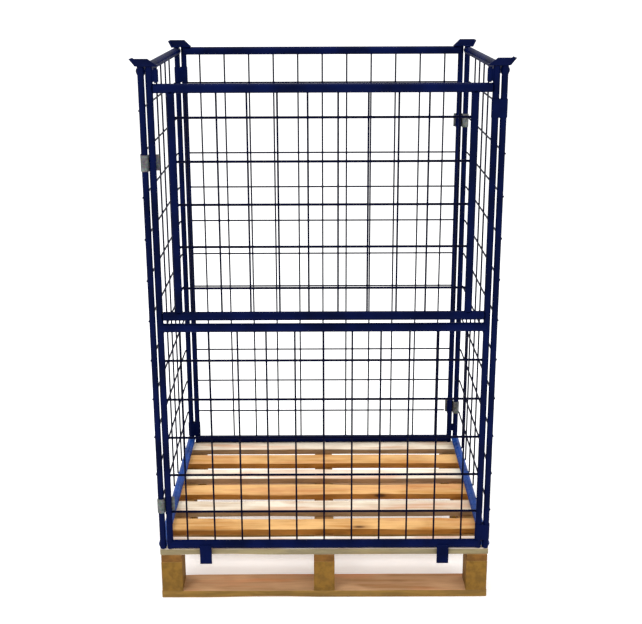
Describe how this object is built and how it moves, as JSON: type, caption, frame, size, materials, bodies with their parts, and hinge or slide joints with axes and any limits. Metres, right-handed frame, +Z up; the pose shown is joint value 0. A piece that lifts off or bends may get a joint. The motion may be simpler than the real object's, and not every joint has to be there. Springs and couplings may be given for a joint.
{
  "type": "wire mesh container",
  "caption": "Tall blue tube-and-mesh cage on a wooden block pallet, with hinged walls, a drop-down upper front gate and corner caps for stacking.",
  "frame": {"origin": "on the floor, under the middle of the pallet", "axes": "+Z up, -Y towards the front with the drop-down gate, +X to the right seen from the front"},
  "size_m": [1.241, 1.041, 1.9557],
  "materials": {
    "blue_powder_coat": "semi-gloss dark blue powder coat",
    "galvanised": "zinc plated spring strip",
    "nail_steel": "dull nail heads",
    "deck_pine_pale": "rough-sawn pale pine",
    "deck_pine_orange": "rough-sawn resinous pine",
    "pallet_pine_aged": "rough-sawn weathered pine"
  },
  "bodies": {
    "pallet": {"blocks_centre": "pallet_pine_aged", "blocks_left": "pallet_pine_aged", "blocks_right": "pallet_pine_aged", "bottom_board_back": "pallet_pine_aged", "bottom_board_front": "pallet_pine_aged", "bottom_board_middle": "pallet_pine_aged", "deck_board_1": "deck_pine_pale", "deck_board_2": "deck_pine_orange", "deck_board_3": "deck_pine_pale", "deck_board_4": "deck_pine_orange", "deck_board_5": "deck_pine_pale", "deck_board_6": "deck_pine_orange", "deck_board_7": "deck_pine_pale", "deck_nails": "nail_steel", "stringer_centre": "pallet_pine_aged", "stringer_left": "pallet_pine_aged", "stringer_right": "pallet_pine_aged"},
    "cage_base": {"back_bottom_rail": "blue_powder_coat", "back_lugs": "blue_powder_coat", "back_mesh": "blue_powder_coat", "back_post_left": "blue_powder_coat", "back_post_right": "blue_powder_coat", "back_top_rail": "blue_powder_coat", "cap_back_left": "blue_powder_coat", "cap_back_right": "blue_powder_coat", "cap_front_right": "blue_powder_coat", "clip_catches": "blue_powder_coat", "corner_link": "blue_powder_coat", "hinge_sleeves_back": "blue_powder_coat", "right_bottom_rail": "blue_powder_coat", "right_mesh": "blue_powder_coat", "right_top_rail": "blue_powder_coat", "right_upright_front": "blue_powder_coat", "right_upright_rear": "blue_powder_coat"},
    "left_wall": {"cap_front_left": "blue_powder_coat", "left_bottom_rail": "blue_powder_coat", "left_mesh": "blue_powder_coat", "left_top_rail": "blue_powder_coat", "left_upright_front": "blue_powder_coat", "left_upright_rear": "blue_powder_coat"},
    "front_wall": {"bolt_guides": "blue_powder_coat", "front_bottom_rail": "blue_powder_coat", "front_lugs": "blue_powder_coat", "front_mesh": "blue_powder_coat", "front_middle_rail": "blue_powder_coat", "front_post_left": "blue_powder_coat", "front_post_right": "blue_powder_coat", "gate_pivot_pins": "blue_powder_coat", "hinge_sleeves_front": "blue_powder_coat"},
    "gate": {"gate_mesh": "blue_powder_coat", "gate_pivot_rail": "blue_powder_coat", "gate_top_rail": "blue_powder_coat", "gate_upright_left": "blue_powder_coat", "gate_upright_right": "blue_powder_coat"},
    "drop_bolt_left": {"drop_bolt_left": "blue_powder_coat"},
    "drop_bolt_right": {"drop_bolt_right": "blue_powder_coat"},
    "clip_front_lower": {"clip_front_lower": "galvanised"},
    "clip_front_upper": {"clip_front_upper": "galvanised"},
    "clip_back_lower": {"clip_back_lower": "galvanised"},
    "clip_back_upper": {"clip_back_upper": "galvanised"}
  },
  "joints": [
    {"name": "cage_lift", "type": "slide", "parent": "pallet", "child": "cage_base", "axis": [0, 0, 1], "range_m": [0, 0.15]},
    {"name": "left_wall_hinge", "type": "hinge", "parent": "cage_base", "child": "left_wall", "pos_m": [-0.589, 0.489, 1], "axis": [0, 0, -1], "range_deg": [0, 180]},
    {"name": "front_wall_hinge", "type": "hinge", "parent": "cage_base", "child": "front_wall", "pos_m": [0.589, -0.489, 1], "axis": [0, 0, 1], "range_deg": [0, 180]},
    {"name": "gate_hinge", "type": "hinge", "parent": "front_wall", "child": "gate", "pos_m": [0, -0.489, 1.087], "axis": [1, 0, 0], "range_deg": [0, 120]},
    {"name": "drop_bolt_left_slide", "type": "slide", "parent": "front_wall", "child": "drop_bolt_left", "axis": [0, 0, -1], "range_m": [0, 0.018]},
    {"name": "drop_bolt_right_slide", "type": "slide", "parent": "front_wall", "child": "drop_bolt_right", "axis": [0, 0, -1], "range_m": [0, 0.018]},
    {"name": "clip_front_lower_turn", "type": "hinge", "parent": "left_wall", "child": "clip_front_lower", "pos_m": [-0.589, -0.489, 0.373], "axis": [0, 0, 1], "range_deg": [0, 60]},
    {"name": "clip_front_upper_turn", "type": "hinge", "parent": "left_wall", "child": "clip_front_upper", "pos_m": [-0.589, -0.489, 1.616], "axis": [0, 0, 1], "range_deg": [0, 60]},
    {"name": "clip_back_lower_turn", "type": "hinge", "parent": "cage_base", "child": "clip_back_lower", "pos_m": [0.589, 0.489, 0.365], "axis": [0, 0, -1], "range_deg": [0, 60]},
    {"name": "clip_back_upper_turn", "type": "hinge", "parent": "cage_base", "child": "clip_back_upper", "pos_m": [0.589, 0.489, 1.631], "axis": [0, 0, -1], "range_deg": [0, 60]}
  ]
}
